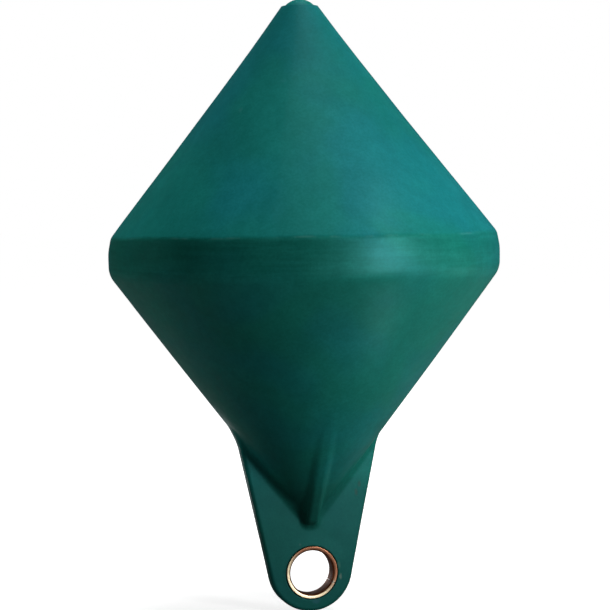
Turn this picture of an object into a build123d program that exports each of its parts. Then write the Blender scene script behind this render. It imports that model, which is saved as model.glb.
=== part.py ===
from build123d import *
import os
from math import cos, hypot, radians, sin, tan

# Navigation buoy: a biconical hull moulded in one piece with its mooring lug, a domed
# filler plug seated in the top and a split bronze bush pressed in the lug's eye.
# Millimetres, +Z up. The origin is on the axis at the mid-height of the belt, where the
# water stands. The lug is a plate in XZ, and its eye runs along Y.
os.makedirs("parts", exist_ok=True)

# Hull: a belt between two cones
belt_radius = 200.0
belt_height = 35.0
belt_draft_angle = 1.0
upper_cone_height = 235.0
lower_cone_height = 264.0
bevel_on_cone = 5.0
bevel_on_belt = 11.0
lower_edge_radius = 24.0
shoulder_radius = 18.6
shoulder_chamfer = 0.8

# Filler plug
plug_radius = 15.4
plug_skirt_height = 2.4
plug_dome_height = 7.0
plug_rim_gap = 0.9
stem_radius = 10.0
stem_length = 42.0
stem_clearance = 0.2
stem_end_clearance = 2.0

# Mooring lug
eye_below_cone = 46.3
lug_thickness = 16.0
lug_end_below_cone = 42.8
lug_end_radius = 44.1
lug_side_angle = 12.1
lug_flare_radius = 44.0
lug_flare_sink = 0.8
lug_edge_radius = 4.0
lug_root_radius = 5.0

# Ribs that tie the lug's two faces to the cone
rib_thickness = 12.5
rib_length = 89.5
rib_end_above_cone_point = 3.0
rib_end_height = 8.5
rib_end_slope = 2.0
rib_crest_chamfer = 2.4
rib_root_radius = 2.5
rib_bury = 25.0
rib_foot_bury = 1.0

# Bush in the eye
bush_radius = 27.0
bush_wall = 4.2
bush_proud = 1.6
bush_seat_clearance = 0.05
bush_inner_chamfer = 1.3
bush_split_width = 0.6
bush_split_angle = -27.0

# How near an edge lies to a face or flank that it belongs to, and how far from others
touching = 0.02
apart = 1.0

# Places of the hull that follow from its sizes
face_y = lug_thickness / 2
belt_corner_z = belt_height / 2
belt_draft = tan(radians(belt_draft_angle))
belt_corner_radius = belt_radius - belt_corner_z * belt_draft
shoulder_z = belt_corner_z + upper_cone_height
cone_point_z = -belt_corner_z - lower_cone_height
cone_slope = belt_corner_radius / lower_cone_height
cone_tip_z = cone_point_z + face_y / 2 / cone_slope

# The bevel between the upper cone and the belt
upper_cone_spread = belt_corner_radius - shoulder_radius
bevel_share = bevel_on_cone / hypot(upper_cone_spread, upper_cone_height)
bevel_top_radius = belt_corner_radius - bevel_share * upper_cone_spread
bevel_top_z = belt_corner_z + bevel_share * upper_cone_height
bevel_foot_z = belt_corner_z - bevel_on_belt
bevel_foot_radius = belt_radius - bevel_foot_z * belt_draft

# Heights of the plug
plug_top_z = shoulder_z + plug_dome_height
plug_seat_z = shoulder_z - plug_skirt_height
dome_radius = (plug_radius**2 + plug_dome_height**2) / (2 * plug_dome_height)

# Places of the eye and its bush
eye_z = cone_point_z - eye_below_cone
eye_plane = Plane(origin=(0, 0, eye_z), x_dir=(1, 0, 0), z_dir=(0, -1, 0))
bore_radius = bush_radius - bush_wall
bush_length = lug_thickness + 2 * bush_proud


def cone_radius(z):
    """Radius of the lower cone at a height."""
    return (z - cone_point_z) * cone_slope


# The lug's outline: its straight side, and the corner where that would meet the cone
side_angle = radians(lug_side_angle)
side_slope = tan(side_angle)
side_foot_x = lug_end_radius * cos(side_angle)
lug_end_z = cone_point_z - lug_end_below_cone
side_foot_z = lug_end_z - lug_end_radius * sin(side_angle)
sink_x = lug_flare_sink * hypot(1, cone_slope)
side_x_at_cone_point = side_foot_x + (cone_point_z - side_foot_z) * side_slope
corner_z = cone_point_z + (side_x_at_cone_point + sink_x) / (cone_slope - side_slope)
flare_top_z = corner_z + lug_flare_radius
side_foot = (side_foot_x, side_foot_z)
side_corner = (cone_radius(corner_z) - sink_x, corner_z)
flare_top = (cone_radius(flare_top_z) - sink_x, flare_top_z)

# The rib's crest, a straight line from the blunt end up to the cone and on inside it
rib_end_z = cone_point_z + rib_end_above_cone_point
rib_top_z = rib_end_z + rib_length
crest_low = (face_y + rib_end_height, rib_end_z + rib_end_slope)
crest_high = (cone_radius(rib_top_z), rib_top_z)
crest_slope = (crest_high[0] - crest_low[0]) / (crest_high[1] - crest_low[1])
crest_buried = (crest_high[0] + rib_bury * crest_slope, rib_top_z + rib_bury)
rib_foot = (face_y - rib_foot_bury, rib_end_z - rib_foot_bury * rib_end_slope / rib_end_height)


def lies_on_cone(edge):
    """True for an edge whose middle lies on the lower cone, where lug and ribs meet it."""
    middle = edge.position_at(0.5)
    off_cone = hypot(middle.X, middle.Y) - cone_radius(middle.Z)
    return cone_point_z < middle.Z < flare_top_z and abs(off_cone) < touching


def is_on_rib(edge):
    """True for an edge no further from the mid-plane YZ than the ribs' flanks."""
    return abs(edge.position_at(0.5).X) < rib_thickness / 2 + touching


def is_rib_root(edge):
    """True for an edge where a rib meets the cone or the lug's face."""
    middle = edge.position_at(0.5)
    on_face = abs(abs(middle.Y) - face_y) < touching
    on_foot = on_face and cone_point_z < middle.Z < rib_top_z
    return is_on_rib(edge) and (on_foot or lies_on_cone(edge))


def is_rib_crest(edge):
    """True for the rib's long outer edges and the outer edge of its blunt end."""
    middle = edge.position_at(0.5)
    outside = abs(middle.Y) > crest_low[0] - touching
    return outside and middle.Z < crest_buried[1] - apart and edge.geom_type == GeomType.LINE


def is_outline(edge):
    """True for the outline of the lug's two faces, below where it ends in the cone."""
    return edge.position_at(0.5).Z < flare_top_z - apart


def is_inner_rim(edge):
    """True for the bush's two rims at its bore."""
    return edge.radius < bush_radius - apart


def corner_at(sketch, radius, z):
    """The corner of a turned profile at a radius and a height."""
    return sketch.vertices().sort_by_distance((radius, z, 0))[0]


with BuildPart() as hull:
    # Lug plate with rounded edges
    with BuildSketch(Plane.XZ):
        with BuildLine():
            FilletPolyline(flare_top, side_corner, side_foot, radius=lug_flare_radius)
            RadiusArc(side_foot, (0, lug_end_z - lug_end_radius), lug_end_radius)
            Polyline((0, lug_end_z - lug_end_radius), (0, flare_top_z), flare_top)
        make_face()
        mirror(about=Plane.YZ)
    extrude(amount=face_y, both=True)
    fillet(hull.faces().filter_by(Axis.Y).edges().filter_by(is_outline), lug_edge_radius)

    # Ribs with bevelled crests
    with BuildSketch(Plane.YZ):
        with BuildLine():
            Polyline(
                (0, rib_foot[1]),
                rib_foot,
                crest_low,
                crest_buried,
                (0, crest_buried[1]),
                close=True,
            )
        make_face()
        mirror(about=Plane.YZ)
    extrude(amount=rib_thickness / 2, both=True)
    chamfer(hull.edges().filter_by(is_rib_crest), rib_crest_chamfer)

    # Cones and belt, turned about the axis
    with BuildSketch(Plane.XZ) as profile:
        with BuildLine():
            Polyline(
                (0, shoulder_z),
                (shoulder_radius, shoulder_z),
                (bevel_top_radius, bevel_top_z),
                (bevel_foot_radius, bevel_foot_z),
                (belt_radius, 0),
                (belt_corner_radius, -belt_corner_z),
                (cone_radius(cone_tip_z), cone_tip_z),
                (0, cone_tip_z),
                close=True,
            )
        make_face()
        chamfer(corner_at(profile, shoulder_radius, shoulder_z), shoulder_chamfer)
        fillet(corner_at(profile, belt_corner_radius, -belt_corner_z), lower_edge_radius)
    revolve(axis=Axis.Z)

    # Rounded roots, first beside the lug's faces and then round the ribs
    roots = hull.edges().filter_by(lies_on_cone)
    fillet([edge for edge in roots if not is_on_rib(edge)], lug_root_radius)
    fillet(hull.edges().filter_by(is_rib_root), rib_root_radius)

    # Stepped seat of the filler plug, and the eye
    with Locations((0, 0, shoulder_z)):
        CounterBoreHole(
            radius=stem_radius + stem_clearance,
            counter_bore_radius=plug_radius + plug_rim_gap,
            counter_bore_depth=plug_skirt_height,
            depth=plug_skirt_height + stem_length + stem_end_clearance,
        )
    with Locations(eye_plane):
        Hole(radius=bush_radius + bush_seat_clearance)
hull.part.label = "hull"
export_step(hull.part, "parts/hull.step")

# Filler plug: a domed head with a skirt, on a stem
with BuildPart() as filler_plug:
    with BuildSketch(Plane.XY.offset(plug_seat_z)):
        Circle(plug_radius)
    extrude(amount=plug_skirt_height + 2 * plug_dome_height)
    with Locations((0, 0, plug_top_z - dome_radius)):
        Sphere(dome_radius, rotation=(0, 90, 0), mode=Mode.INTERSECT)
    with BuildSketch(Plane.XY.offset(plug_seat_z)):
        Circle(stem_radius)
    extrude(amount=-stem_length)
filler_plug.part.label = "filler_plug"
export_step(filler_plug.part, "parts/filler_plug.step")

# Bush: a rolled sleeve whose butt joint is pressed nearly closed
with BuildPart() as eye_bush:
    with BuildSketch(eye_plane):
        Circle(bush_radius)
        Circle(bore_radius, mode=Mode.SUBTRACT)
    extrude(amount=bush_length / 2, both=True)
    rims = eye_bush.edges().filter_by(GeomType.CIRCLE)
    chamfer(rims.filter_by(is_inner_rim), bush_inner_chamfer)
    with BuildSketch(eye_plane):
        with PolarLocations(bush_radius - bush_wall / 2, 1, start_angle=bush_split_angle):
            Rectangle(bush_wall * 2, bush_split_width)
    extrude(amount=bush_length, both=True, mode=Mode.SUBTRACT)
eye_bush.part.label = "eye_bush"
export_step(eye_bush.part, "parts/eye_bush.step")
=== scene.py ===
import math

import bmesh
import bpy
import numpy as np
from bpy.props import FloatProperty, FloatVectorProperty, IntProperty, PointerProperty
from bpy.types import Operator, Panel, PropertyGroup
from mathutils import Matrix, Vector, noise


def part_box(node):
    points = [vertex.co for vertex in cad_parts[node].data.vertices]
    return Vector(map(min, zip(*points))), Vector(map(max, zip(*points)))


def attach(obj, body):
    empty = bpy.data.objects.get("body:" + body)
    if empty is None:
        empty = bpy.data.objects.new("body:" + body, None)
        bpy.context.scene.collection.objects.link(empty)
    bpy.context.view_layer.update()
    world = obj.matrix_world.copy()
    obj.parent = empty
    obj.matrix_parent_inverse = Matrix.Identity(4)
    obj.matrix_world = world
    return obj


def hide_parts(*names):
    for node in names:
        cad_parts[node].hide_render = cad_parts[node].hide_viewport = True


bl_info = {
    "name": "Mooring Buoy",
    "version": (1, 0, 0),
    "blender": (4, 5, 0),
    "location": "View3D > Sidebar > Buoy",
    "description": "Builds a moulded biconical buoy with its filler plug and bushed mooring eye",
    "category": "Add Mesh",
}

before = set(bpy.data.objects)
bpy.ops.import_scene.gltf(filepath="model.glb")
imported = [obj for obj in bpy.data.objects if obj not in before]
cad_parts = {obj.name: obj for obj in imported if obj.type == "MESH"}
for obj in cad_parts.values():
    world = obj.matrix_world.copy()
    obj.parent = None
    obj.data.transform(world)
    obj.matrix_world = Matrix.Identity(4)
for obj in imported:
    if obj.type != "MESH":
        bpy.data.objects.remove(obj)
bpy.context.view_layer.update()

MM = 0.001

# Fixed sizes of the buoy in millimetres, from the frame and its proportions: the belt and cones
BELT_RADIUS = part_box("hull")[1][0] / MM
BELT_DRAFT = math.tan(math.radians(1.0))
BELT_HALF = 17.5
SHOULDER_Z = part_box("hull")[1][2] / MM
SHOULDER_RADIUS = 18.6
CORNER_RADIUS = BELT_RADIUS - BELT_HALF * BELT_DRAFT
BEVEL_ON_CONE = 4.0
BEVEL_ON_BELT = 11.0
BEVEL_SHARE = BEVEL_ON_CONE / math.hypot(CORNER_RADIUS - SHOULDER_RADIUS, SHOULDER_Z - BELT_HALF)
CREASE_RADIUS = CORNER_RADIUS - BEVEL_SHARE * (CORNER_RADIUS - SHOULDER_RADIUS)
CREASE_Z = BELT_HALF + BEVEL_SHARE * (SHOULDER_Z - BELT_HALF)
CONE_POINT_Z = -281.5
CONE_SLOPE = CORNER_RADIUS / (-BELT_HALF - CONE_POINT_Z)
CONE_SLANT = math.hypot(1, CONE_SLOPE)

# How far the skin sank above the belt and swelled below it while it cooled, at the most
UPPER_HOLLOW = 1.6
LOWER_SWELL = 1.4

# Radii of the turned profile's corners, from below the belt up to the plug's seat
LOWER_EDGE = 24.0
BELT_CREST = 60.0
BEVEL_FOOT = 38.0
CREASE_EDGE = 14.0
SHOULDER_EDGE = 0.9
SEAT_EDGE = 0.4

# The filler plug and its seat
PLUG_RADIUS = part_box("filler_plug")[1][0] / MM
PLUG_TOP_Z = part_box("filler_plug")[1][2] / MM
PLUG_FOOT_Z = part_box("filler_plug")[0][2] / MM
PLUG_GAP = 0.9
PLUG_SEAT = 2.4
STEM_RADIUS = 10.0

# The lug: round end, straight sides and hollow flares that run out on the cone
EYE_Z = -327.8
LUG_HALF = 8.0
LUG_END_Z = -324.3
LUG_END_RADIUS = LUG_END_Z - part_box("hull")[0][2] / MM
LUG_SIDE = math.radians(12.1)
FLARE_RADIUS = 44.0
FLARE_SINK = 0.8
FLARE_FADE = math.radians(9.0)

# Along the flare, the lug's root thins out over this length, from before the flare's end
ROOT_THIN = 1.0
ROOT_FADE_BEFORE = 12.0
ROOT_FADE_LENGTH = 16.0

# The ribs, a little thicker than the solid's, with their low corner as (y, z)
RIB_HALF = 7.0
RIB_LOW = (16.5, -276.5)
RIB_HIGH_Z = -189.0
RIB_END_SLOPE = 2.0 / 8.5

# Where the lug's mesh meets the turned one, the gap that triangles bridge there, how far above
# it the lug's mesh is capped and how far its vertices may settle, and the disc that fills its eye
JOIN_Z = -150.0
JOIN_GAP = 5.0
CAP_ABOVE = 6.0
FREE_ABOVE = 3.0
FILLING_RADIUS = 29.0
SMOOTHING_ROUNDS = 6

# The bush, its seat, and the seat's worn mouth: how far each corner stands outside the seat's
# wall and above the lug's face, and how far the mouth lies off the eye's axis along X and Z
BUSH_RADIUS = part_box("eye_bush")[1][0] / MM
BUSH_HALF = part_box("eye_bush")[1][1] / MM
BUSH_WALL = 4.2
EYE_SEAT = 0.05
EYE_LIP = [(0, -2.2), (0.4, -1.9), (0.5, -0.9), (0.65, -0.45), (0.95, -0.12), (1.5, 0.05), (1.5, 4)]
LIP_SHIFT = (0.3, -0.2)

# Height over and under the crease in which its wander fades out
WANDER_REACH = 26.0

# Columns of faces round the small turned pieces
FILLING_SEGMENTS = 64
PLUG_SEGMENTS = 128
CUTTER_SEGMENTS = 192
BUSH_SEGMENTS = 240

# Radius of the circle that turned profiles are swept round, and where doubles merge, in metres
GUIDE_RADIUS = 0.1
MERGE_DISTANCE = 1e-6


def linear(hex_code):
    """An sRGB hex colour as linear RGBA."""
    values = [int(hex_code[i:i + 2], 16) / 255 for i in (0, 2, 4)]
    return (*(v / 12.92 if v <= 0.04045 else ((v + 0.055) / 1.055) ** 2.4 for v in values), 1.0)


WHITE = linear("FFFFFF")


class HullSettings(PropertyGroup):
    """Sizes and colours of the moulded hull."""
    colour: FloatVectorProperty(
        name="Colour", description="Pigment of the belt, the lower cone and the lug",
        subtype="COLOR", size=3, min=0, max=1, default=linear("168177")[:3])
    faded: FloatVectorProperty(
        name="Faded", description="Pigment of the upper cone, bluer where the sun reached it",
        subtype="COLOR", size=3, min=0, max=1, default=linear("16807E")[:3])
    edge_wave: FloatProperty(
        name="Edge wave", description="How far the belt's upper edge wanders up and down",
        default=1.3 * MM, min=0, unit="LENGTH")
    unevenness: FloatProperty(
        name="Unevenness", description="Depth of the shallow hollows left as the skin cools",
        default=0.45 * MM, min=0, unit="LENGTH")
    voxel: FloatProperty(
        name="Voxel", description="Mesh spacing on the lug and its ribs",
        default=1.6 * MM, min=0.5 * MM, unit="LENGTH")
    segments: IntProperty(
        name="Segments", description="Columns of faces round the cones and the belt",
        default=300, min=64)
    lug_edge: FloatProperty(
        name="Lug edge", description="Radius of the lug's outer edges",
        default=2.8 * MM, min=0, unit="LENGTH")
    lug_root: FloatProperty(
        name="Lug root", description="Radius where the lug's faces run into the cone",
        default=7.0 * MM, min=0, unit="LENGTH")
    rib_root: FloatProperty(
        name="Rib root", description="Radius round the foot of each rib",
        default=5.5 * MM, min=0, unit="LENGTH")
    rib_crest: FloatProperty(
        name="Rib crest", description="Radius of the ribs' crests",
        default=4.4 * MM, min=0, unit="LENGTH")


class PlugSettings(PropertyGroup):
    """Sizes and colours of the filler plug."""
    colour: FloatVectorProperty(
        name="Colour", description="Pigment of the plug's plastic", subtype="COLOR",
        size=3, min=0, max=1, default=linear("167D79")[:3])
    rim: FloatProperty(
        name="Rim", description="Radius of the plug's rim",
        default=0.6 * MM, min=0, unit="LENGTH")


class BushSettings(PropertyGroup):
    """Sizes and colours of the bronze bush."""
    # The bare colour is also the palest end of the painted highlight on the ends' lower left
    colour: FloatVectorProperty(
        name="Colour", description="Bare bronze on the bush's ends", subtype="COLOR",
        size=3, min=0, max=1, default=linear("F9E5BF")[:3])
    chamfer: FloatProperty(
        name="Chamfer", description="Bevel at the mouth of the bore",
        default=1.3 * MM, min=0, unit="LENGTH")
    edge: FloatProperty(
        name="Edge", description="Radius of the sleeve's outer edges",
        default=0.45 * MM, min=0, unit="LENGTH")
    dish: FloatProperty(
        name="Dish", description="How far the sleeve's ends are worn hollow towards the bore",
        default=0.5 * MM, min=0, unit="LENGTH")
    split: FloatProperty(
        name="Split", description="Width of the rolled sleeve's butt joint",
        default=0.6 * MM, min=0, unit="LENGTH")
    split_angle: FloatProperty(
        name="Split angle", description="Where the joint stands round the bore",
        default=math.radians(-27.0), subtype="ANGLE")


class StageSettings(PropertyGroup):
    """Camera, floor and light."""
    azimuth: FloatProperty(
        name="Azimuth", description="The camera's angle round the buoy",
        default=math.radians(-15.0), subtype="ANGLE")
    distance: FloatProperty(
        name="Distance", description="From the camera to the buoy's axis",
        default=1.97, min=0.5, unit="LENGTH")
    height: FloatProperty(
        name="Height", description="The camera's height over the waterline",
        default=0.05, unit="LENGTH")
    aim: FloatProperty(
        name="Aim", description="Height of the point on the axis that the camera looks at",
        default=-0.0522, unit="LENGTH")
    lens: FloatProperty(
        name="Lens", description="The camera's focal length in millimetres",
        default=113.4, min=10, unit="CAMERA")
    roll: FloatProperty(
        name="Roll", description="The camera's turn about its own axis",
        default=math.radians(1.05), subtype="ANGLE")
    room_mirrored: FloatProperty(
        name="Mirrored room", description="Level of the room where a glossy surface mirrors it",
        default=0.03, min=0, max=1)


# Nodes that are used often. The inputs of MIX are 0 its factor, 6 and 7 its two colours, and
# those of RANGE are 0 its value, 1 and 2 the range it has, 3 and 4 the range it is mapped to.
MATH = "ShaderNodeMath"
VECTOR_MATH = "ShaderNodeVectorMath"
RANGE = "ShaderNodeMapRange"
NOISE = "ShaderNodeTexNoise"
MIX = "ShaderNodeMix"
COLOURS = {"data_type": "RGBA"}
TINTS = {"data_type": "RGBA", "blend_type": "MULTIPLY"}
SMOOTH = {"interpolation_type": "SMOOTHSTEP"}


def add(tree, kind, links=None, **settings):
    """A new node with its settings.

    Each input in links is set to a value, or linked to a socket or to a node's first live output.
    """
    node = tree.nodes.new(kind)
    for name, value in settings.items():
        setattr(node, name, value)
    for key, value in (links or {}).items():
        if isinstance(value, bpy.types.Node):
            value = next(output for output in value.outputs if output.enabled)
        if isinstance(value, bpy.types.NodeSocket):
            tree.links.new(value, node.inputs[key])
        else:
            node.inputs[key].default_value = value
    return node


# Forms of the cones

def cone_radius(z):
    """Radius of the lower cone at a height, in millimetres."""
    return (z - CONE_POINT_Z) * CONE_SLOPE


def skin_shift(z):
    """How far the cooled skin stands outside its straight cone at a height, in millimetres."""
    up = np.clip((z - BELT_HALF) / (SHOULDER_Z - BELT_HALF), 0, 1)
    down = np.clip((z - CONE_POINT_Z) / (-BELT_HALF - CONE_POINT_Z), 0, 1)
    # Each curve of up and down is scaled to reach 1 at its highest
    swell = 4 * down * (1 - down)
    hollow = 5.4 * up ** 1.5 * (1 - up)
    return LOWER_SWELL * swell - UPPER_HOLLOW * hollow


# Shape of the lug, as a field that is negative inside the plastic

def rounded_join(a, b, radius):
    """The union of two fields with a rounded root between them."""
    return np.maximum(radius, np.minimum(a, b)) - np.hypot(
        np.maximum(radius - a, 0), np.maximum(radius - b, 0))


def rounded_block(sides, radius):
    """The overlap of several half-spaces with rounded edges between them."""
    q = np.stack([side + radius for side in sides])
    return np.minimum(q.max(0), 0) + np.sqrt((np.maximum(q, 0) ** 2).sum(0)) - radius


def outline_field(x, z):
    """Distance outside the lug's outline: round end, straight side and hollow flare."""
    side_dir = (math.sin(LUG_SIDE), math.cos(LUG_SIDE))
    side_out = (math.cos(LUG_SIDE), -math.sin(LUG_SIDE))
    cone_dir = (CONE_SLOPE / CONE_SLANT, 1 / CONE_SLANT)
    cone_out = (1 / CONE_SLANT, -CONE_SLOPE / CONE_SLANT)
    side = x * side_out[0] + (z - LUG_END_Z) * side_out[1] - LUG_END_RADIUS
    end = np.hypot(x, z - LUG_END_Z) - LUG_END_RADIUS
    cone = x * cone_out[0] + (z - CONE_POINT_Z) * cone_out[1] + FLARE_SINK
    straight = x * side_dir[0] + (z - LUG_END_Z) * side_dir[1]
    low = np.where(straight > 0, side, end)
    lines = np.array([side_out, cone_out])
    reach = np.array([
        LUG_END_RADIUS + side_out[1] * LUG_END_Z + FLARE_RADIUS,
        cone_out[1] * CONE_POINT_Z - FLARE_SINK + FLARE_RADIUS])
    centre = np.linalg.solve(lines, reach)
    before = (x - centre[0]) * side_dir[0] + (z - centre[1]) * side_dir[1]
    after = (x - centre[0]) * cone_dir[0] + (z - centre[1]) * cone_dir[1]
    arc = FLARE_RADIUS - np.hypot(x - centre[0], z - centre[1])
    fading = cone + np.maximum(after, 0) * math.tan(FLARE_FADE)
    return np.where(before < 0, low, np.where(after > 0, fading, arc)), after


def lug_field(points, settings):
    """The lower cone with its lug and ribs, for points in millimetres."""
    x, y, z = np.abs(points[:, 0]), np.abs(points[:, 1]), points[:, 2]
    cone = (np.hypot(x, y) - cone_radius(z) - skin_shift(z)) / CONE_SLANT
    outline, after = outline_field(x, z)
    plate = rounded_block([outline, y - LUG_HALF], settings.lug_edge / MM)
    fade = np.clip((after + ROOT_FADE_BEFORE) / ROOT_FADE_LENGTH, 0, 1)
    root = settings.lug_root / MM * (1 - fade) + ROOT_THIN * fade
    body = rounded_join(cone, plate, root)
    crest_slope = (cone_radius(RIB_HIGH_Z) - RIB_LOW[0]) / (RIB_HIGH_Z - RIB_LOW[1])
    crest = (y - RIB_LOW[0] - (z - RIB_LOW[1]) * crest_slope) / math.hypot(1, crest_slope)
    end = (RIB_LOW[1] + (y - RIB_LOW[0]) * RIB_END_SLOPE - z) / math.hypot(1, RIB_END_SLOPE)
    rib = rounded_block([x - RIB_HALF, crest, end], settings.rib_crest / MM)
    return rounded_join(body, rib, settings.rib_root / MM)


def settle(points, settings, rounds=2, step=0.05, limit=1.5):
    """Points moved down the field's slope on to the lug's exact surface, a little each round."""
    for _ in range(rounds):
        value = lug_field(points, settings)
        slope = np.stack([
            lug_field(points + step * axis, settings) - lug_field(points - step * axis, settings)
            for axis in np.eye(3)], axis=1) / (2 * step)
        length = np.maximum((slope ** 2).sum(1), 0.25)
        points = points - np.clip(value / length, -limit, limit)[:, None] * slope
    return points


def evaluated(obj):
    """A plain mesh of an object with its modifiers applied."""
    graph = bpy.context.evaluated_depsgraph_get()
    return bpy.data.meshes.new_from_object(obj.evaluated_get(graph), depsgraph=graph)


def add_object(name, mesh):
    """A new object at the origin that holds a mesh."""
    obj = bpy.data.objects.new(name, mesh)
    bpy.context.scene.collection.objects.link(obj)
    return obj


def discard(obj):
    """A helper object taken away with its mesh."""
    mesh = obj.data
    bpy.data.objects.remove(obj)
    bpy.data.meshes.remove(mesh)


# Geometry trees

def shape_tree(name, inputs):
    """An empty geometry tree with named inputs, and the outputs of its input node."""
    tree = bpy.data.node_groups.new(name, "GeometryNodeTree")
    tree.interface.new_socket("Geometry", in_out="OUTPUT", socket_type="NodeSocketGeometry")
    for label, kind in inputs:
        tree.interface.new_socket(label, in_out="INPUT", socket_type="NodeSocket" + kind)
    return tree, add(tree, "NodeGroupInput").outputs


def end_tree(tree, geometry, material):
    """The tree's last nodes: real geometry with its material."""
    real = add(tree, "GeometryNodeRealizeInstances", {"Geometry": geometry})
    dressed = add(tree, "GeometryNodeSetMaterial", {"Geometry": real, "Material": material})
    add(tree, "NodeGroupOutput", {0: dressed})


def made_by_tree(name, tree, values, source=None):
    """The plain mesh that a geometry tree makes from its named values, with its faces outwards."""
    helper = add_object(name, source or bpy.data.meshes.new(name))
    modifier = helper.modifiers.new(name, "NODES")
    modifier.node_group = tree
    for item in tree.interface.items_tree:
        if item.in_out == "INPUT" and item.name in values:
            modifier[item.identifier] = values[item.name]
    mesh = evaluated(helper)
    discard(helper)
    shape = bmesh.new()
    shape.from_mesh(mesh)
    bmesh.ops.recalc_face_normals(shape, faces=shape.faces)
    shape.to_mesh(mesh)
    shape.free()
    mesh.name = name
    return mesh


def turned_form_tree():
    """A profile swept round a circle, as on a lathe, and closed where it meets the axis."""
    tree, size = shape_tree("turned_form", [
        ("Profile", "Geometry"), ("Segments", "Int"), ("Guide Radius", "Float"),
        ("Material", "Material")])
    place = add(tree, "GeometryNodeInputPosition")
    part = add(tree, "ShaderNodeSeparateXYZ", {0: place}).outputs
    out = add(tree, MATH, {0: part["X"], 1: size["Guide Radius"]}, operation="SUBTRACT")
    down = add(tree, MATH, {0: part["Y"], 1: -1.0}, operation="MULTIPLY")
    shifted = add(tree, "ShaderNodeCombineXYZ", {"X": out, "Y": down})
    profile = add(tree, "GeometryNodeMeshToCurve", {"Mesh": size["Profile"]})
    profile = add(tree, "GeometryNodeSetPosition", {"Geometry": profile, "Position": shifted})
    guide = add(tree, "GeometryNodeCurvePrimitiveCircle", {
        "Resolution": size["Segments"], "Radius": size["Guide Radius"]})
    guide = add(tree, "GeometryNodeSetCurveNormal", {"Curve": guide}, mode="Z_UP")
    skin = add(tree, "GeometryNodeCurveToMesh", {"Curve": guide, "Profile Curve": profile})
    skin = add(tree, "GeometryNodeMergeByDistance", {"Geometry": skin, "Distance": MERGE_DISTANCE})
    end_tree(tree, skin, size["Material"])
    return tree


def turned(name, points, segments, material=None):
    """A mesh turned by the tree from a profile of (radius, height) in millimetres."""
    tree = bpy.data.node_groups.get("turned_form") or turned_form_tree()
    profile = bpy.data.meshes.new(name)
    rows = range(len(points) - 1)
    profile.from_pydata([(r * MM, h * MM, 0) for r, h in points], [(k, k + 1) for k in rows], [])
    values = {"Segments": segments, "Guide Radius": GUIDE_RADIUS}
    if material:
        values["Material"] = material
    return made_by_tree(name, tree, values, profile)


def along_eye(mesh):
    """A turned mesh laid along the eye's bore."""
    turn = Matrix.Rotation(math.radians(-90), 4, "X")
    mesh.transform(Matrix.Translation((0, 0, EYE_Z * MM)) @ turn)
    return mesh


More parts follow.
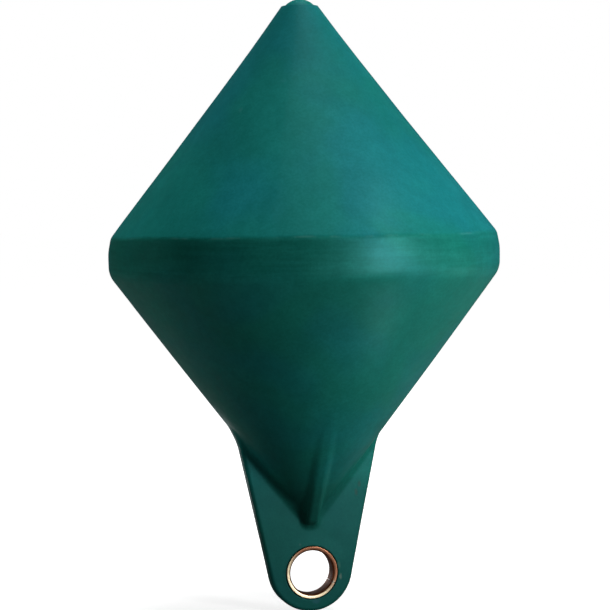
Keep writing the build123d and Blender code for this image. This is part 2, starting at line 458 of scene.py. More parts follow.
def split_sleeve_tree():
    """A sleeve rolled from strip: its section swept round the bore and stopped at the joint."""
    tree, size = shape_tree("split_sleeve", [
        ("Outer Radius", "Float"), ("Wall", "Float"), ("Length", "Float"), ("Chamfer", "Float"),
        ("Edge Radius", "Float"), ("Dish", "Float"), ("Split Width", "Float"),
        ("Split Angle", "Float"), ("Height", "Float"), ("Steps", "Int"), ("Material", "Material")])

    # The path: a circle through the middle of the wall, open at the joint
    half_wall = add(tree, MATH, {0: size["Wall"], 1: 0.5}, operation="MULTIPLY")
    middle = add(tree, MATH, {0: size["Outer Radius"], 1: half_wall}, operation="SUBTRACT")
    half_split = add(tree, MATH, {0: size["Split Width"], 1: 0.5}, operation="MULTIPLY")
    half_gap = add(tree, MATH, {0: half_split, 1: middle}, operation="DIVIDE")
    gap = add(tree, MATH, {0: half_gap, 1: 2.0}, operation="MULTIPLY")
    sweep = add(tree, MATH, {0: 2 * math.pi, 1: gap}, operation="SUBTRACT")
    start = add(tree, MATH, {0: size["Split Angle"], 1: half_gap}, operation="ADD")
    path = add(tree, "GeometryNodeCurveArc", {
        "Resolution": size["Steps"], "Radius": middle, "Sweep Angle": sweep, "Start Angle": start})
    path = add(tree, "GeometryNodeSetCurveNormal", {"Curve": path}, mode="Z_UP")

    # The section: a flat bevel at the bore's corners, with softened edges, and round corners
    # outside
    section = add(tree, "GeometryNodeCurvePrimitiveQuadrilateral", {
        "Width": size["Wall"], "Height": size["Length"]})
    place = add(tree, "GeometryNodeInputPosition")
    across = add(tree, "ShaderNodeSeparateXYZ", {0: place}).outputs["X"]
    inside = add(tree, MATH, {0: across, 1: 0.0}, operation="LESS_THAN")
    outside = add(tree, MATH, {0: 1.0, 1: inside}, operation="SUBTRACT")
    bevel = add(tree, MATH, {0: inside, 1: size["Chamfer"]}, operation="MULTIPLY")
    rounding = add(tree, MATH, {0: outside, 1: size["Edge Radius"]}, operation="MULTIPLY")
    corner = add(tree, MATH, {0: bevel, 1: rounding}, operation="ADD")
    more = add(tree, MATH, {0: outside, 1: 3.0}, operation="MULTIPLY")
    count = add(tree, MATH, {0: 1.0, 1: more}, operation="ADD")
    section = add(tree, "GeometryNodeFilletCurve", {
        "Curve": section, "Radius": corner, "Count": count}, mode="POLY")
    half_edge = add(tree, MATH, {0: size["Edge Radius"], 1: 0.5}, operation="MULTIPLY")
    soft = add(tree, MATH, {0: inside, 1: half_edge}, operation="MULTIPLY")
    section = add(tree, "GeometryNodeFilletCurve", {
        "Curve": section, "Count": 2, "Radius": soft}, mode="POLY")

    # The ends worn hollow, most at the bore
    place = add(tree, "GeometryNodeInputPosition")
    part = add(tree, "ShaderNodeSeparateXYZ", {0: place}).outputs
    outward = add(tree, MATH, {0: part["X"], 1: size["Wall"]}, operation="DIVIDE")
    inward = add(tree, MATH, {0: 0.5, 1: outward}, operation="SUBTRACT")
    depth = add(tree, MATH, {0: inward, 1: size["Dish"]}, operation="MULTIPLY")
    end = add(tree, MATH, {0: part["Y"]}, operation="SIGN")
    sunk = add(tree, MATH, {0: depth, 1: end}, operation="MULTIPLY")
    level = add(tree, MATH, {0: part["Y"], 1: sunk}, operation="SUBTRACT")
    moved = add(tree, "ShaderNodeCombineXYZ", {"X": part["X"], "Y": level})
    section = add(tree, "GeometryNodeSetPosition", {"Geometry": section, "Position": moved})

    sleeve = add(tree, "GeometryNodeCurveToMesh", {
        "Curve": path, "Profile Curve": section, "Fill Caps": True})
    centre = add(tree, "ShaderNodeCombineXYZ", {"Z": size["Height"]})
    sleeve = add(tree, "GeometryNodeTransform", {
        "Geometry": sleeve, "Translation": centre, "Rotation": (math.radians(90), 0, 0)})
    end_tree(tree, sleeve, size["Material"])
    return tree


def rounded_profile(corners, spacing=6.0, arc_step=math.radians(5)):
    """Points along a line of (radius, height, corner radius), with straight runs divided."""
    points = [Vector(corners[0][:2])]
    for before, corner, after in zip(corners, corners[1:], corners[2:]):
        here = Vector(corner[:2])
        to_before = (Vector(before[:2]) - here).normalized()
        to_after = (Vector(after[:2]) - here).normalized()
        turn = math.pi - to_before.angle(to_after)
        if corner[2] == 0 or turn < 1e-4:
            points.append(here)
            continue
        reach = corner[2] * math.tan(turn / 2)
        start, stop = here + to_before * reach, here + to_after * reach
        centre = here + (to_before + to_after).normalized() * corner[2] / math.cos(turn / 2)
        steps = max(2, math.ceil(turn / arc_step))
        first, last = start - centre, stop - centre
        for k in range(steps + 1):
            t = k / steps
            weight = [math.sin((1 - t) * turn), math.sin(t * turn)]
            points.append(centre + (first * weight[0] + last * weight[1]) / math.sin(turn))
    points.append(Vector(corners[-1][:2]))
    result = [points[0]]
    for point in points[1:]:
        run = (point - result[-1]).length
        count = max(1, math.ceil(run / spacing))
        origin = result[-1].copy()
        result += [origin.lerp(point, (k + 1) / count) for k in range(count)]
    return [tuple(point) for point in result]


def lug_shape(settings):
    """The lug's end of the hull: a voxel mesh drawn on to the exact surface, open at the top."""
    source = bmesh.new()
    source.from_mesh(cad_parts["hull"].data)
    bmesh.ops.remove_doubles(source, verts=source.verts, dist=MERGE_DISTANCE)
    cut = bmesh.ops.bisect_plane(
        source, geom=source.verts[:] + source.edges[:] + source.faces[:],
        plane_co=(0, 0, (JOIN_Z + CAP_ABOVE) * MM), plane_no=(0, 0, 1), clear_outer=True)
    rim = [e for e in cut["geom_cut"] if isinstance(e, bmesh.types.BMEdge)]
    bmesh.ops.edgenet_fill(source, edges=rim)
    disc = [(0, -LUG_HALF), (FILLING_RADIUS, -LUG_HALF), (FILLING_RADIUS, LUG_HALF), (0, LUG_HALF)]
    filling = along_eye(turned("lug_filling", disc, FILLING_SEGMENTS))
    source.from_mesh(filling)
    bpy.data.meshes.remove(filling)
    bmesh.ops.recalc_face_normals(source, faces=source.faces)
    rough = bpy.data.meshes.new("lug_rough")
    source.to_mesh(rough)
    source.free()
    helper = add_object("lug_rough", rough)
    remesh = helper.modifiers.new("voxels", "REMESH")
    remesh.mode = "VOXEL"
    remesh.voxel_size = settings.voxel
    mesh = evaluated(helper)
    discard(helper)

    # The voxels' steps are smoothed away, and each round ends on the exact surface
    count = len(mesh.vertices)
    points = np.empty(count * 3)
    mesh.vertices.foreach_get("co", points)
    points = points.reshape(-1, 3) / MM
    edges = np.empty(len(mesh.edges) * 2, dtype=np.int64)
    mesh.edges.foreach_get("vertices", edges)
    edges = edges.reshape(-1, 2)
    degree = np.bincount(edges.ravel(), minlength=count)[:, None]
    free = points[:, 2] < JOIN_Z + FREE_ABOVE
    for _ in range(SMOOTHING_ROUNDS):
        total = np.zeros_like(points)
        np.add.at(total, edges[:, 0], points[edges[:, 1]])
        np.add.at(total, edges[:, 1], points[edges[:, 0]])
        relaxed = points + 0.5 * (total / degree - points)
        points[free] = settle(relaxed[free], settings)
    mesh.vertices.foreach_set("co", (points * MM).ravel())
    shape = bmesh.new()
    shape.from_mesh(mesh)
    bpy.data.meshes.remove(mesh)
    bmesh.ops.bisect_plane(
        shape, geom=shape.verts[:] + shape.edges[:] + shape.faces[:],
        plane_co=(0, 0, JOIN_Z * MM), plane_no=(0, 0, 1), clear_outer=True)
    return shape


def bridge(shape, low, high):
    """Triangles between two rings of vertices about the Z axis with different counts."""
    def by_angle(ring):
        return sorted(ring, key=lambda v: math.atan2(v.co.y, v.co.x))
    low, high = by_angle(low), by_angle(high)
    angle = [[math.atan2(v.co.y, v.co.x) for v in ring] for ring in (low, high)]
    i = j = 0
    while i < len(low) or j < len(high):
        next_low = angle[0][i + 1] if i + 1 < len(low) else angle[0][0] + 2 * math.pi
        next_high = angle[1][j + 1] if j + 1 < len(high) else angle[1][0] + 2 * math.pi
        a, b = low[i % len(low)], high[j % len(high)]
        if j >= len(high) or (i < len(low) and next_low <= next_high):
            shape.faces.new((a, low[(i + 1) % len(low)], b))
            i += 1
        else:
            shape.faces.new((a, high[(j + 1) % len(high)], b))
            j += 1


def hull_profile():
    """Corners of the cones and belt from the join upwards, and down into the plug's seat."""
    seat_radius = PLUG_RADIUS + PLUG_GAP
    bevel_foot_z = BELT_HALF - BEVEL_ON_BELT
    return [
        (cone_radius(JOIN_Z + JOIN_GAP), JOIN_Z + JOIN_GAP, 0),
        (CORNER_RADIUS, -BELT_HALF, LOWER_EDGE),
        (BELT_RADIUS, 0, BELT_CREST),
        (BELT_RADIUS - bevel_foot_z * BELT_DRAFT, bevel_foot_z, BEVEL_FOOT),
        (CREASE_RADIUS, CREASE_Z, CREASE_EDGE),
        (SHOULDER_RADIUS, SHOULDER_Z, SHOULDER_EDGE),
        (seat_radius, SHOULDER_Z, SEAT_EDGE),
        (seat_radius, SHOULDER_Z - PLUG_SEAT, 0),
        (0, SHOULDER_Z - PLUG_SEAT, 0),
    ]


def wander(angle, seed):
    """Smooth noise round the belt, from about -1 to 1."""
    place = Vector((3.2 * math.cos(angle), 3.2 * math.sin(angle), seed))
    fine = Vector((9.0 * math.cos(angle), 9.0 * math.sin(angle), seed + 7))
    return 0.75 * noise.noise(place) * 1.6 + 0.25 * noise.noise(fine) * 1.6


def held(value):
    """A value held between 0 and 1."""
    return min(1.0, max(0.0, value))


def hull_mesh(settings):
    """The whole skin of the hull as one closed mesh."""
    shape = lug_shape(settings)
    rim = [v for v in shape.verts if v.is_boundary]
    profile = [(r and r + float(skin_shift(z)), z) for r, z in rounded_profile(hull_profile())]
    upper = turned("hull_upper", profile, settings.segments)
    shape.from_mesh(upper)
    bpy.data.meshes.remove(upper)
    old = set(rim)
    first = [v for v in shape.verts if v.is_boundary and v not in old]
    bridge(shape, rim, first)

    # The crease wanders up and down, and the material reads each vertex's height over it
    above_crease = shape.verts.layers.float.new("above_crease")
    for vert in shape.verts:
        x, y, z = vert.co / MM
        vert[above_crease] = z - CREASE_Z
        reach = held(1 - abs(z - BELT_HALF) / WANDER_REACH)
        if reach > 0:
            lift = wander(math.atan2(y, x), 2.0) * settings.edge_wave
            vert.co.z += lift * reach * reach * (3 - 2 * reach)

    # Shallow hollows, about 85, 38 and 14 mm wide, that leave the skin even round the bush and
    # under the plug's rim
    shape.normal_update()
    moves = []
    for vert in shape.verts:
        p = vert.co / MM
        broad = noise.noise(p / 85) + 0.45 * noise.noise(p / 38 + Vector((9, 2, 5)))
        fine = noise.noise(p / 14 + Vector((3, 8, 1)))
        depth = max(0.0, 0.5 + 0.45 * broad + 0.12 * fine)
        from_eye = math.hypot(p.x, p.y, p.z - EYE_Z)
        quiet = held((from_eye - 28) / 14) * held((SHOULDER_Z - 6 - p.z) / 20)
        moves.append(-depth * settings.unevenness * quiet)
    for vert, move in zip(shape.verts, moves):
        vert.co += vert.normal * move
    bmesh.ops.recalc_face_normals(shape, faces=shape.faces)
    mesh = bpy.data.meshes.new("hull_skin")
    shape.to_mesh(mesh)
    shape.free()
    return mesh


def eye_cutter():
    """The bush's seat, with a narrow gap, wider on one side, and a rounded lip at each face."""
    seat = BUSH_RADIUS + EYE_SEAT
    mouth = [(seat + outside, LUG_HALF + above) for outside, above in EYE_LIP]
    low_mouth = [(radius, -height) for radius, height in reversed(mouth)]
    end = mouth[-1][1]
    mesh = along_eye(turned(
        "eye_cutter", [(0, -end), *low_mouth, *mouth, (0, end)], CUTTER_SEGMENTS))
    for vert in mesh.vertices:
        x, height = vert.co.x / MM, vert.co.z / MM - EYE_Z
        if math.hypot(x, height) > seat + 0.2:
            vert.co += Vector((LIP_SHIFT[0], 0, LIP_SHIFT[1])) * MM
    return mesh


def finish_mesh(mesh, sharp_degrees):
    """Smooth shading that keeps the true edges sharp."""
    mesh.polygons.foreach_set("use_smooth", [True] * len(mesh.polygons))
    mesh.set_sharp_from_angle(angle=math.radians(sharp_degrees))
    mesh.update()


# Materials

def new_material(name):
    """An empty node material with its tree."""
    material = bpy.data.materials.new(name)
    material.use_nodes = True
    tree = material.node_tree
    tree.nodes.clear()
    return material, tree


def noise_scale(width_mm):
    """Scale of a noise whose features are about width_mm wide."""
    return 1 / (width_mm * MM * 2)


def near_spot(tree, place, centre, reach, ragged):
    """1 at a spot and 0 beyond its reach along X, Y and Z, in millimetres, with a ragged edge."""
    away = add(tree, VECTOR_MATH, {0: place, 1: Vector(centre) * MM}, operation="SUBTRACT")
    share = add(tree, VECTOR_MATH, {0: away, 1: Vector(reach) * MM}, operation="DIVIDE")
    far = add(tree, VECTOR_MATH, {0: share}, operation="LENGTH")
    edge = add(tree, MATH, {0: far, 1: ragged}, operation="ADD")
    return add(tree, RANGE, {0: edge, 1: 1.5, 2: 0.7}, **SMOOTH)


def clouded(tree, place, colour, cloud_mm):
    """Pigment that melted unevenly: broad clouds, bluish and greenish patches, mottle and grain."""
    # Width of each noise in millimetres, its detail, roughness and distortion, the range of it
    # that shows, and the tints at that range's ends
    shades = [
        (cloud_mm, 3, 0.55, 0.0, 0.35, 0.65, (0.95, 0.92, 0.93, 1.0), (1.1, 1.05, 1.05, 1.0)),
        (cloud_mm * 1.4, 2, 0.5, 0.5, 0.38, 0.62, (1.0, 1.03, 0.93, 1.0), (1.0, 0.98, 1.07, 1.0)),
        (6, 4, 0.6, 0.0, 0.3, 0.7, (0.9, 0.94, 0.94, 1.0), (1.2, 1.06, 1.07, 1.0)),
        (1.3, 3, 0.6, 0.0, 0.3, 0.7, (0.85, 0.92, 0.92, 1.0), (1.3, 1.08, 1.08, 1.0))]
    for width, detail, roughness, distortion, low, high, first, last in shades:
        pattern = add(tree, NOISE, {
            "Vector": place, "Scale": noise_scale(width), "Detail": detail,
            "Roughness": roughness, "Distortion": distortion})
        amount = add(tree, RANGE, {0: pattern, 1: low, 2: high}, **SMOOTH)
        tint = add(tree, MIX, {0: amount, 6: first, 7: last}, **COLOURS)
        colour = add(tree, MIX, {0: 1.0, 6: colour, 7: tint}, **TINTS)
    return colour


def satin_plastic(tree, place, colour, grain_mm, wear):
    """The plastic's surface: satin, with orange peel and fine grit, duller where it is worn."""
    peel = add(tree, NOISE, {"Vector": place, "Scale": noise_scale(grain_mm), "Detail": 2})
    grit = add(tree, NOISE, {
        "Vector": place, "Scale": noise_scale(0.7), "Detail": 2, "Roughness": 0.6})
    grit = add(tree, MATH, {0: grit, 1: 0.25}, operation="MULTIPLY")
    relief = add(tree, MATH, {0: peel, 1: grit}, operation="ADD")
    bump = add(tree, "ShaderNodeBump", {"Height": relief, "Strength": 0.35, "Distance": 0.12 * MM})
    gloss = add(tree, NOISE, {
        "Vector": place, "Scale": noise_scale(11), "Detail": 3, "Roughness": 0.6})
    rough = add(tree, RANGE, {0: gloss, 1: 0.3, 2: 0.7, 3: 0.42, 4: 0.48}, **SMOOTH)
    dulled = add(tree, MATH, {0: wear, 1: 0.2}, operation="MULTIPLY")
    rough = add(tree, MATH, {0: rough, 1: dulled}, operation="ADD")
    shader = add(tree, "ShaderNodeBsdfPrincipled", {
        "Base Color": colour, "Roughness": rough, "IOR": 1.5, "Specular IOR Level": 0.45,
        "Specular Tint": linear("7CFCFF"), "Normal": bump})
    add(tree, "ShaderNodeOutputMaterial", {"Surface": shader})


# Scuffs on the hull: centre and reach along X, Y and Z in millimetres, strength and colour
SCUFFS = [
    ((-36, -69, 172), (5, 4, 2), 0.30, "3F9391"),
    ((-78, -62, 144), (3, 3, 5), 0.32, "4A8E8C"),
    ((-114, -27, 121), (4, 4, 3), 0.15, "4A8E8C"),
    ((52.5, -8, -238.5), (2.5, 3, 5), 0.30, "6B6660"),
    ((49, -8, -247), (2.5, 3, 5), 0.35, "6B6660"),
    ((29, -8, -322), (2.5, 3, 6), 0.25, "7FB0A0"),
    ((30.5, -8, -334), (2, 3, 4), 0.40, "A9BCA8"),
    ((-12, -8, -298), (2, 3, 2), 0.20, "7FB0A8"),
    ((4, -8, -358), (6, 3, 4), 0.22, "5C8FB0"),
]

# Painted shade and darkening that thicken from one height to another in millimetres, and how
# much there is of each: painted shade on the foot and on the lug under the hull, and a
# darkening towards the top
SHADE_AND_DARKENING_BANDS = [(-160, -270, 0.28), (-222, -250, 0.26), (60, 210, 0.12)]


def rotomoulded_polyethylene(name, colour, faded):
    """Rotomoulded polyethylene, satin and clouded.

    The sun has made the upper cone bluer. Faint streaks run round the belt, its upper edge is
    rubbed pale in places, painted shade darkens the foot and the lug, the upper cone is darker
    towards the top, and a few scuffs show on the cone and the lug.
    """
    material, tree = new_material(name)
    place = add(tree, "ShaderNodeTexCoord").outputs["Object"]
    part = add(tree, "ShaderNodeSeparateXYZ", {"Vector": place}).outputs
    above = add(tree, "ShaderNodeAttribute", attribute_name="above_crease").outputs["Fac"]
    ragged = add(tree, NOISE, {
        "Vector": place, "Scale": noise_scale(1.6), "Detail": 4, "Roughness": 0.7})

    # Pigment, other above the crease than below it
    on_cone = add(tree, RANGE, {0: above, 1: -1.5, 2: 2.5}, **SMOOTH)
    shade = add(tree, MIX, {0: on_cone, 6: (*colour, 1.0), 7: (*faded, 1.0)}, **COLOURS)
    shade = clouded(tree, place, shade, 42)

    # Streaks that run level round the belt
    drawn = add(tree, "ShaderNodeMapping", {"Vector": place, "Scale": (0.07, 0.07, 1)})
    streak = add(tree, NOISE, {
        "Vector": drawn, "Scale": noise_scale(2.4), "Detail": 4, "Roughness": 0.65})
    streak = add(tree, RANGE, {0: streak, 1: 0.35, 2: 0.7}, **SMOOTH)
    streak = add(tree, MIX, {
        0: streak, 6: (0.8, 0.9, 0.89, 1.0), 7: (1.3, 1.1, 1.12, 1.0)}, **COLOURS)
    streaked = add(tree, MIX, {0: 1.0, 6: shade, 7: streak}, **TINTS)
    over_foot = add(tree, RANGE, {0: above, 1: -44, 2: -34}, **SMOOTH)
    under_crease = add(tree, RANGE, {0: above, 1: 1, 2: -1}, **SMOOTH)
    on_belt = add(tree, MATH, {0: over_foot, 1: under_crease}, operation="MULTIPLY")
    shade = add(tree, MIX, {0: on_belt, 6: shade, 7: streaked}, **COLOURS)

    # Painted shade on the foot and the lug under the hull, and darker towards the top
    shade_and_darkening = 0.0
    for begins, full_at, strength in SHADE_AND_DARKENING_BANDS:
        band = add(tree, RANGE, {
            0: part["Z"], 1: begins * MM, 2: full_at * MM, 4: strength}, **SMOOTH)
        shade_and_darkening = add(tree, MATH, {0: band, 1: shade_and_darkening}, operation="ADD")
    shade = add(tree, MIX, {0: shade_and_darkening, 6: shade, 7: linear("12302C")}, **COLOURS)

    # Grime in the gap round the bush, most at its lower right
    across = add(tree, MATH, {0: part["X"], 1: LIP_SHIFT[0] * MM}, operation="SUBTRACT")
    height = add(tree, MATH, {0: part["Z"], 1: (EYE_Z + LIP_SHIFT[1]) * MM}, operation="SUBTRACT")
    from_eye = add(tree, "ShaderNodeCombineXYZ", {"X": across, "Z": height})
    from_eye = add(tree, VECTOR_MATH, {0: from_eye}, operation="LENGTH")
    right = add(tree, MATH, {0: across, 1: 0.8}, operation="MULTIPLY")
    up = add(tree, MATH, {0: height, 1: 0.6}, operation="MULTIPLY")
    lower_right = add(tree, MATH, {0: right, 1: up}, operation="SUBTRACT")
    caught = add(tree, RANGE, {0: lower_right, 1: -20 * MM, 2: 15 * MM, 3: 0.2, 4: 0.9}, **SMOOTH)
    frayed = add(tree, MATH, {0: ragged, 1: 1.4 * MM}, operation="MULTIPLY")
    grime = add(tree, MATH, {0: from_eye, 1: frayed}, operation="ADD")
    grime = add(tree, RANGE, {
        0: grime, 1: (BUSH_RADIUS + 2.6) * MM, 2: (BUSH_RADIUS + 1.0) * MM}, **SMOOTH)
    grime = add(tree, MATH, {0: grime, 1: caught}, operation="MULTIPLY")
    shade = add(tree, MIX, {0: grime, 6: shade, 7: linear("0F2019")}, **COLOURS)

    # The crease, rubbed pale in patches
    patchy = add(tree, NOISE, {
        "Vector": place, "Scale": noise_scale(9), "Detail": 3, "Roughness": 0.6})
    patchy = add(tree, RANGE, {0: patchy, 1: 0.5, 2: 0.68}, **SMOOTH)
    off_crease = add(tree, MATH, {0: above}, operation="ABSOLUTE")
    on_crease = add(tree, RANGE, {0: off_crease, 1: 1.6, 2: 0.3}, **SMOOTH)
    wear = add(tree, MATH, {0: on_crease, 1: patchy}, operation="MULTIPLY")
    paled = add(tree, MATH, {0: wear, 1: 0.12}, operation="MULTIPLY")
    shade = add(tree, MIX, {0: paled, 6: shade, 7: linear("7FC4BC")}, **COLOURS)

    # Scuffs
    for centre, reach, strength, hex_code in SCUFFS:
        spot = near_spot(tree, place, centre, reach, ragged)
        amount = add(tree, MATH, {0: spot, 1: strength}, operation="MULTIPLY")
        shade = add(tree, MIX, {0: amount, 6: shade, 7: linear(hex_code)}, **COLOURS)
        wear = add(tree, MATH, {0: wear, 1: spot}, operation="MAXIMUM")
    satin_plastic(tree, place, shade, 2.2, wear)
    return material


def moulded_plug_polyethylene(name, colour):
    """Injection-moulded polyethylene: finer grained and more even than the hull's, with rubs."""
    material, tree = new_material(name)
    place = add(tree, "ShaderNodeTexCoord").outputs["Object"]
    shade = clouded(tree, place, (*colour, 1.0), 14)
    drawn = add(tree, "ShaderNodeMapping", {"Vector": place, "Scale": (1, 0.3, 1)})
    rub = add(tree, NOISE, {
        "Vector": drawn, "Scale": noise_scale(3), "Detail": 5, "Roughness": 0.7})
    rub = add(tree, RANGE, {0: rub, 1: 0.56, 2: 0.72}, **SMOOTH)
    paled = add(tree, MATH, {0: rub, 1: 0.06}, operation="MULTIPLY")
    shade = add(tree, MIX, {0: paled, 6: shade, 7: linear("7FC4BC")}, **COLOURS)
    satin_plastic(tree, place, shade, 1.2, rub)
    return material


def faced_bronze(name, bare, chamfer, split_angle):
    """Rolled bronze: bare ends with a painted highlight, copper on the bevel, brown in the bore.

    Fine tool rings run round the ends and rolled lines round the bore.
    """
    material, tree = new_material(name)
    place = add(tree, "ShaderNodeTexCoord").outputs["Object"]
    part = add(tree, "ShaderNodeSeparateXYZ", {"Vector": place}).outputs
    height = add(tree, MATH, {0: part["Z"], 1: EYE_Z * MM}, operation="SUBTRACT")
    patch = add(tree, NOISE, {
        "Vector": place, "Scale": noise_scale(4), "Detail": 4, "Roughness": 0.6})
    half_patchy = add(tree, RANGE, {0: patch, 1: 0.35, 2: 0.65}, **SMOOTH)
    even = add(tree, MATH, {0: patch, 1: 0.5}, operation="SUBTRACT")
    ragged = add(tree, MATH, {0: even, 1: 0.5 * MM}, operation="MULTIPLY")

    # Where the bevel and the end face begin, by the radius, with ragged edges
    x_squared = add(tree, MATH, {0: part["X"], 1: part["X"]}, operation="MULTIPLY")
    z_squared = add(tree, MATH, {0: height, 1: height}, operation="MULTIPLY")
    radius = add(tree, MATH, {0: x_squared, 1: z_squared}, operation="ADD")
    radius = add(tree, MATH, {0: radius}, operation="SQRT")
    worn = add(tree, MATH, {0: radius, 1: ragged}, operation="ADD")
    bore = (BUSH_RADIUS - BUSH_WALL) * MM
    on_bevel = add(tree, RANGE, {0: worn, 1: bore - 0.1 * MM, 2: bore + 0.25 * chamfer}, **SMOOTH)
    on_end = add(tree, RANGE, {0: worn, 1: bore + 0.8 * chamfer, 2: bore + 1.1 * chamfer}, **SMOOTH)

    # Tarnish in the bore, browner in its depth than at its mouth
    depth = add(tree, MATH, {0: part["Y"]}, operation="ABSOLUTE")
    depth = add(tree, MATH, {0: depth, 1: ragged}, operation="ADD")
    near_mouth = add(tree, RANGE, {0: depth, 1: 3.5 * MM, 2: BUSH_HALF * MM - chamfer}, **SMOOTH)
    patchy = add(tree, RANGE, {0: patch, 1: 0.3, 2: 0.7}, **SMOOTH)
    dark = add(tree, MIX, {0: patchy, 6: linear("8A665C"), 7: linear("B08474")}, **COLOURS)
    mouth = add(tree, MIX, {0: half_patchy, 6: linear("B46E4A"), 7: linear("CE8A64")}, **COLOURS)
    tarnish = add(tree, MIX, {0: near_mouth, 6: dark, 7: mouth}, **COLOURS)
    copper = add(tree, MIX, {0: half_patchy, 6: linear("9A5A3C"), 7: linear("BC7A58")}, **COLOURS)

    # The end face: bare bronze with a painted highlight, pale towards its lower left and copper
    # towards its upper right
    left = add(tree, MATH, {0: part["X"], 1: -0.6}, operation="MULTIPLY")
    down = add(tree, MATH, {0: height, 1: -0.8}, operation="MULTIPLY")
    lower_left = add(tree, MATH, {0: left, 1: down}, operation="ADD")
    painted_highlight = add(tree, RANGE, {
        0: lower_left, 1: -0.5 * BUSH_RADIUS * MM, 2: 0.35 * BUSH_RADIUS * MM}, **SMOOTH)
    pale = add(tree, MIX, {0: painted_highlight, 6: linear("C98A6A"), 7: (*bare, 1.0)}, **COLOURS)
    inner = add(tree, MIX, {0: on_bevel, 6: tarnish, 7: copper}, **COLOURS)
    colour = add(tree, MIX, {0: on_end, 6: inner, 7: pale}, **COLOURS)

    # A nick at the joint's front end, painted near white as a glint
    joint = Vector((math.cos(split_angle), 0, math.sin(split_angle)))
    joint = joint * (BUSH_RADIUS - 0.6 * BUSH_WALL) + Vector((0, -BUSH_HALF, EYE_Z))
    nick_glint = near_spot(tree, place, joint, (2.2, 2, 2), 0.4)
    colour = add(tree, MIX, {0: nick_glint, 6: colour, 7: linear("FFF0D8")}, **COLOURS)

    # Smoother where it is bare
    bright = add(tree, MATH, {0: on_end, 1: nick_glint}, operation="MAXIMUM")
    smooth = add(tree, RANGE, {0: bright, 3: 0.45, 4: 0.36})
    blotches = add(tree, RANGE, {0: patch, 1: 0.4, 2: 0.8, 4: 0.12}, **SMOOTH)
    rough = add(tree, MATH, {0: smooth, 1: blotches}, operation="ADD")

    # Lines along the rolling and rings of the facing tool, drawn coarser than real ones to show
    drawn = add(tree, "ShaderNodeMapping", {"Vector": place, "Scale": (1, 14, 1)})
    lines = add(tree, NOISE, {"Vector": drawn, "Scale": noise_scale(1.6), "Detail": 3})
    outward = add(tree, "ShaderNodeCombineXYZ", {"X": radius})
    rings = add(tree, NOISE, {"Vector": outward, "Scale": noise_scale(0.12), "Detail": 2})
    marks = add(tree, MIX, {0: on_end, 6: lines, 7: rings}, **COLOURS)
    bump = add(tree, "ShaderNodeBump", {"Height": marks, "Strength": 0.3, "Distance": 0.04 * MM})
    shader = add(tree, "ShaderNodeBsdfPrincipled", {
        "Base Color": colour, "Metallic": 1.0, "Roughness": rough, "Normal": bump})
    add(tree, "ShaderNodeOutputMaterial", {"Surface": shader})
    return material


def background_level(tree, mirrored):
    """Level of the white background: 1 to the camera, less to glossy and transmission rays."""
    path = add(tree, "ShaderNodeLightPath").outputs
    bounced = add(tree, MATH, {
        0: path["Is Glossy Ray"], 1: path["Is Transmission Ray"]}, operation="MAXIMUM")
    dim = add(tree, MATH, {0: bounced, 1: mirrored}, operation="MULTIPLY")
    return add(tree, MATH, {0: path["Is Camera Ray"], 1: dim}, operation="MAXIMUM")


def pale_floor(name, mirrored):
    """Matt pale floor: white to the camera with the buoy's soft shadow, grey to other rays."""
    material, tree = new_material(name)
    seen = background_level(tree, mirrored)
    colour = add(tree, MIX, {
        0: seen, 6: linear("595959"), 7: linear("E1E1E1")}, **COLOURS)
    matt = add(tree, "ShaderNodeBsdfDiffuse", {"Color": colour})
    place = add(tree, "ShaderNodeTexCoord").outputs["Object"]
    far = add(tree, VECTOR_MATH, {0: place}, operation="LENGTH")
    brighter = add(tree, RANGE, {0: far, 1: 0.45, 2: 1.6, 3: 0.80, 4: 1.0}, **SMOOTH)
    level = add(tree, MATH, {0: seen, 1: brighter}, operation="MULTIPLY")
    glow = add(tree, "ShaderNodeEmission", {"Color": WHITE, "Strength": level})
    both = add(tree, "ShaderNodeAddShader", {0: matt, 1: glow})
    add(tree, "ShaderNodeOutputMaterial", {"Surface": both})
    return material


class BUOY_OT_hull(Operator):
    """Build the moulded hull with its lug and ribs"""
    bl_idname = "buoy.hull"
    bl_label = "Hull"

    def execute(self, context):
        settings = context.scene.buoy_hull
        hull = add_object("hull_skin", hull_mesh(settings))
        cutter = add_object("eye_cutter", eye_cutter())
        cut = hull.modifiers.new("eye", "BOOLEAN")
        cut.operation = "DIFFERENCE"
        cut.solver = "EXACT"
        cut.object = cutter
        mesh = evaluated(hull)
        hull.modifiers.clear()
        old = hull.data
        hull.data = mesh
        bpy.data.meshes.remove(old)
        mesh.name = "hull_skin"
        discard(cutter)
        finish_mesh(mesh, sharp_degrees=40)
        mesh.materials.clear()
        mesh.materials.append(rotomoulded_polyethylene(
            "rotomoulded_polyethylene", settings.colour, settings.faded))
        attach(hull, "root")
        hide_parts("hull")
        return {"FINISHED"}


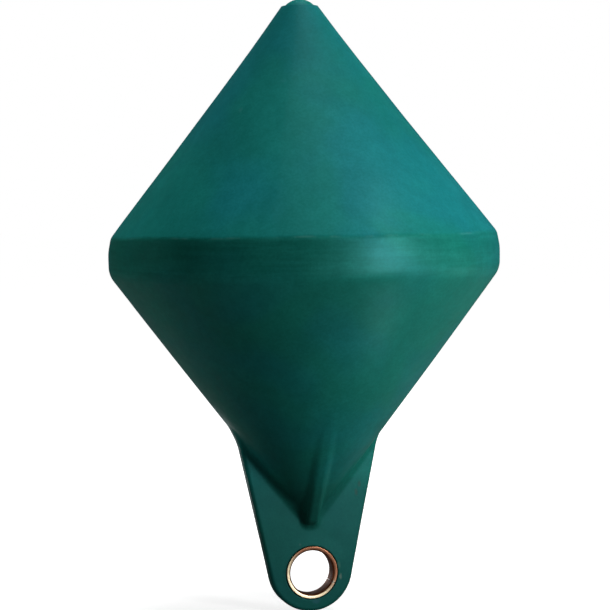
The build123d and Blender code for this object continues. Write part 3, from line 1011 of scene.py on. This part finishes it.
class BUOY_OT_filler_plug(Operator):
    """Build the domed filler plug on its stem"""
    bl_idname = "buoy.filler_plug"
    bl_label = "Filler plug"

    def execute(self, context):
        settings = context.scene.buoy_plug
        seat_z = SHOULDER_Z - PLUG_SEAT
        height = PLUG_TOP_Z - SHOULDER_Z
        dome = (PLUG_RADIUS ** 2 + height ** 2) / (2 * height)
        # The crown is a round dome that stops just short of the rim's rounded edge
        steps = 16
        reach = 0.94 * math.asin(PLUG_RADIUS / dome)
        angles = [reach * k / steps for k in range(steps, 0, -1)]
        crown = [(dome * math.sin(a), PLUG_TOP_Z - dome + dome * math.cos(a)) for a in angles]
        corners = [
            (0, PLUG_FOOT_Z, 0), (STEM_RADIUS, PLUG_FOOT_Z, 0.8), (STEM_RADIUS, seat_z, 0),
            (PLUG_RADIUS, seat_z, 0.2), (PLUG_RADIUS, SHOULDER_Z, settings.rim / MM),
            (*crown[0], 0)]
        profile = rounded_profile(corners, spacing=3.0, arc_step=math.radians(12))
        profile += crown[1:] + [(0, PLUG_TOP_Z)]
        plastic = moulded_plug_polyethylene("moulded_plug_polyethylene", settings.colour)
        mesh = turned("filler_plug_head", profile, PLUG_SEGMENTS, plastic)
        finish_mesh(mesh, sharp_degrees=50)
        plug = add_object("filler_plug_head", mesh)
        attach(plug, "root")
        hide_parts("filler_plug")
        return {"FINISHED"}


class BUOY_OT_eye_bush(Operator):
    """Build the split bronze bush in the lug's eye"""
    bl_idname = "buoy.eye_bush"
    bl_label = "Eye bush"

    def execute(self, context):
        settings = context.scene.buoy_bush
        bronze = faced_bronze(
            "faced_bronze", settings.colour, settings.chamfer, settings.split_angle)
        mesh = made_by_tree("eye_bush_sleeve", split_sleeve_tree(), {
            "Outer Radius": BUSH_RADIUS * MM, "Wall": BUSH_WALL * MM, "Length": 2 * BUSH_HALF * MM,
            "Chamfer": settings.chamfer, "Edge Radius": settings.edge, "Dish": settings.dish,
            "Split Width": settings.split, "Split Angle": settings.split_angle,
            "Height": EYE_Z * MM, "Steps": BUSH_SEGMENTS, "Material": bronze})
        finish_mesh(mesh, sharp_degrees=50)
        bush = add_object("eye_bush_sleeve", mesh)
        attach(bush, "root")
        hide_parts("eye_bush")
        return {"FINISHED"}


# The floor lies just under the lug's foot, and is larger than any view
FLOOR_GAP = 0.2 * MM
FLOOR_HALF = 30.0
SENSOR_WIDTH = 36.0

# Lamps: name, angle right of the camera's side and height angle in degrees, distance, width
# and height in metres, power in watts, whether it lights matt surfaces and whether it shows in
# glossy ones. The gleam and the cards only show: they stand for the tall window and for the
# pale things that the bush mirrors.
LAMPS = [
    ("window_right", 43, 3, 0.85, 0.06, 0.4, 2.4, True, True),
    ("window_gleam", 42, 3, 0.85, 0.08, 0.7, 2.5, False, True),
    ("high_right", 100, 55, 2.2, 0.9, 0.9, 10.0, True, False),
    ("high_top", 90, 80, 2.2, 0.9, 0.9, 13.0, True, False),
    ("high_back", 170, 75, 2.2, 0.9, 0.9, 28.0, True, False),
    ("side_left", -90, 5, 1.2, 0.5, 0.5, 1.8, True, False),
    ("low_left", -60, -15, 0.9, 0.7, 0.24, 0.15, True, False),
    ("low_right", 90, -15, 0.9, 0.7, 0.24, 2.5, True, False),
    ("card_above", 40, 35, 0.27, 0.02, 0.06, 0.02, False, True),
    ("card_below", 41, -38, 0.26, 0.02, 0.06, 0.015, False, True),
    ("card_at_ring", 37, -19.5, 1.0, 0.3, 0.05, 0.6, False, True),
    ("card_behind_ring", -162, -41, 0.47, 0.2, 0.09, 0.08, False, True),
]


class BUOY_OT_stage(Operator):
    """Build the floor, the room, the lamps and the camera"""
    bl_idname = "buoy.stage"
    bl_label = "Stage"

    def execute(self, context):
        settings = context.scene.buoy_stage
        scene = context.scene
        floor_z = (LUG_END_Z - LUG_END_RADIUS) * MM - FLOOR_GAP
        shape = bmesh.new()
        bmesh.ops.create_grid(shape, x_segments=1, y_segments=1, size=FLOOR_HALF)
        shape.transform(Matrix.Translation((0, 0, floor_z)))
        mesh = bpy.data.meshes.new("floor")
        shape.to_mesh(mesh)
        shape.free()
        floor = add_object("floor", mesh)
        mesh.materials.append(pale_floor("matt_pale_floor", settings.room_mirrored))
        for name, side, height, distance, wide, high, power, lights, mirrored in LAMPS:
            lamp = bpy.data.lights.new(name, "AREA")
            lamp.shape = "RECTANGLE"
            lamp.size = wide
            lamp.size_y = high
            lamp.energy = power
            obj = bpy.data.objects.new(name, lamp)
            scene.collection.objects.link(obj)
            turn = settings.azimuth + math.radians(side)
            lift = math.radians(height)
            place = Vector((
                math.cos(lift) * math.sin(turn), -math.cos(lift) * math.cos(turn), math.sin(lift)))
            obj.location = place * distance
            obj.rotation_euler = (-place).to_track_quat("-Z", "Y").to_euler()
            obj.visible_camera = False
            obj.visible_diffuse = lights
            obj.visible_glossy = mirrored
        world = bpy.data.worlds.new("room")
        scene.world = world
        world.use_nodes = True
        tree = world.node_tree
        tree.nodes.clear()
        level = background_level(tree, settings.room_mirrored)
        back = add(tree, "ShaderNodeBackground", {"Color": WHITE, "Strength": level})
        add(tree, "ShaderNodeOutputWorld", {"Surface": back})
        data = bpy.data.cameras.new("camera")
        data.lens = settings.lens
        data.sensor_width = SENSOR_WIDTH
        data.clip_start = 0.01
        camera = bpy.data.objects.new("camera", data)
        scene.collection.objects.link(camera)
        place = Vector((
            math.sin(settings.azimuth) * settings.distance,
            -math.cos(settings.azimuth) * settings.distance, settings.height))
        look = (Vector((0, 0, settings.aim)) - place).to_track_quat("-Z", "Y")
        camera.rotation_mode = "QUATERNION"
        camera.rotation_quaternion = look @ Matrix.Rotation(-settings.roll, 3, "Z").to_quaternion()
        camera.location = place
        scene.camera = camera
        scene.view_settings.view_transform = "Standard"
        return {"FINISHED"}


class BUOY_PT_panel(Panel):
    """Buttons that build the buoy's pieces and its stage"""
    bl_idname = "BUOY_PT_panel"
    bl_label = "Mooring Buoy"
    bl_space_type = "VIEW_3D"
    bl_region_type = "UI"
    bl_category = "Buoy"

    def draw(self, context):
        for group, operator in PIECES:
            box = self.layout.box()
            settings = getattr(context.scene, group)
            for name in type(settings).__annotations__:
                box.prop(settings, name)
            box.operator(operator.bl_idname)


PIECES = [
    ("buoy_hull", BUOY_OT_hull),
    ("buoy_plug", BUOY_OT_filler_plug),
    ("buoy_bush", BUOY_OT_eye_bush),
    ("buoy_stage", BUOY_OT_stage),
]
GROUPS = [
    ("buoy_hull", HullSettings),
    ("buoy_plug", PlugSettings),
    ("buoy_bush", BushSettings),
    ("buoy_stage", StageSettings),
]
CLASSES = [group for _, group in GROUPS] + [operator for _, operator in PIECES] + [BUOY_PT_panel]


def register():
    for item in CLASSES:
        bpy.utils.register_class(item)
    for name, group in GROUPS:
        setattr(bpy.types.Scene, name, PointerProperty(type=group))


def unregister():
    for name, _ in GROUPS:
        delattr(bpy.types.Scene, name)
    for item in reversed(CLASSES):
        bpy.utils.unregister_class(item)


def main():
    register()
    bpy.ops.buoy.hull()
    bpy.ops.buoy.filler_plug()
    bpy.ops.buoy.eye_bush()
    bpy.ops.buoy.stage()


if __name__ == "__main__":
    main()
